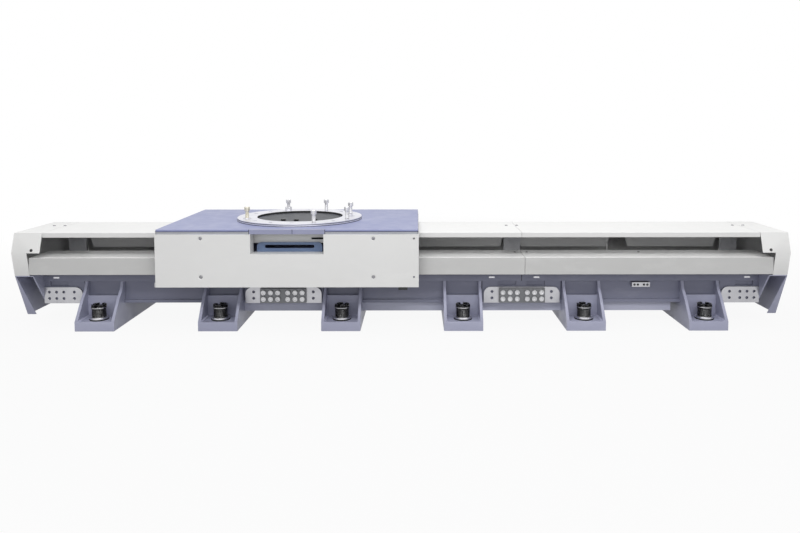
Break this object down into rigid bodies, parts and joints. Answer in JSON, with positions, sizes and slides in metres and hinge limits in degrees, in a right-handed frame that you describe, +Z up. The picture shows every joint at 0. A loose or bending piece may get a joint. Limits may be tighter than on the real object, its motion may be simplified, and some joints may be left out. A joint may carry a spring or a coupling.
{
  "type": "robot linear track",
  "caption": "Floor-standing linear track for a robot: box beams on feet, guides and a rack under sheet covers, and a sliding carriage with a mounting ring.",
  "frame": {"origin": "on the floor, midway along the track and midway between its front and rear faces", "axes": "+X along the track, to the right seen from the front; +Y across it, away from the front; +Z up"},
  "size_m": [3.15, 0.696, 0.486],
  "materials": {
    "frame_paint": "satin",
    "plate_paint": "satin",
    "cover_paint": "satin",
    "bright_steel": "brushed",
    "dark_steel": "blackened",
    "grey_paint": "satin",
    "blue_paint": "satin",
    "motor_paint": "satin",
    "gearbox_metal": "cast",
    "bumper_rubber": "matt",
    "seal_rubber": "matt",
    "sensor_plastic": "matt",
    "bolt_steel": "zinc"
  },
  "bodies": {
    "track": {"beam_left": "frame_paint", "beam_middle": "frame_paint", "beam_right": "frame_paint", "cable_trays": "frame_paint", "end_frame_left": "frame_paint", "end_frame_right": "frame_paint", "foot_1": "frame_paint", "foot_2": "frame_paint", "foot_3": "frame_paint", "foot_4": "frame_paint", "foot_5": "frame_paint", "foot_6": "frame_paint", "top_cover_left": "cover_paint", "top_cover_middle": "cover_paint", "top_cover_right": "cover_paint", "front_cover_left": "cover_paint", "front_cover_middle": "cover_paint", "front_cover_right": "cover_paint", "end_cap_left": "cover_paint", "end_cap_right": "cover_paint", "rear_cover_1": "cover_paint", "rear_cover_2": "cover_paint", "rear_cover_3": "cover_paint", "rear_cover_4": "cover_paint", "rear_cover_5": "cover_paint", "rear_cover_6": "cover_paint", "levelling_sleeves": "dark_steel", "joint_plates": "bright_steel", "end_joint_plates": "bright_steel", "joint_blocks": "dark_steel", "switch_brackets": "bright_steel", "rail_front": "bright_steel", "rail_rear": "bright_steel", "gear_rack": "bright_steel", "end_stops": "dark_steel", "bumpers": "bumper_rubber", "cover_spacers": "bright_steel", "cover_posts": "grey_paint"},
    "carriage": {"carriage_base_plate": "bright_steel", "carriage_plate": "plate_paint", "notch_bars": "plate_paint", "front_panel": "cover_paint", "rear_panel": "cover_paint", "window_frame": "cover_paint", "slotted_stay": "blue_paint", "inner_guard": "cover_paint", "front_arm": "plate_paint", "rear_arm": "plate_paint", "guide_blocks": "bright_steel", "block_seals": "seal_rubber", "gearbox": "gearbox_metal", "drive_motor": "motor_paint", "mounting_ring": "bright_steel", "ring_bolts": "bolt_steel", "ring_floor": "grey_paint", "position_sensor": "sensor_plastic"},
    "pinion": {"drive_pinion": "bright_steel"}
  },
  "joints": [
    {"name": "carriage_slide", "type": "slide", "parent": "track", "child": "carriage", "axis": [1, 0, 0], "range_m": [-0.595, 1.505]},
    {"name": "pinion_spin", "type": "hinge", "parent": "carriage", "child": "pinion", "pos_m": [-0.455, -0.027, 0.234], "axis": [0, 0, 1], "range_deg": [-711, 1797]}
  ],
  "couplings": [
    {"joint": "pinion_spin", "follows": "carriage_slide", "rad_per_m": 20.833}
  ]
}
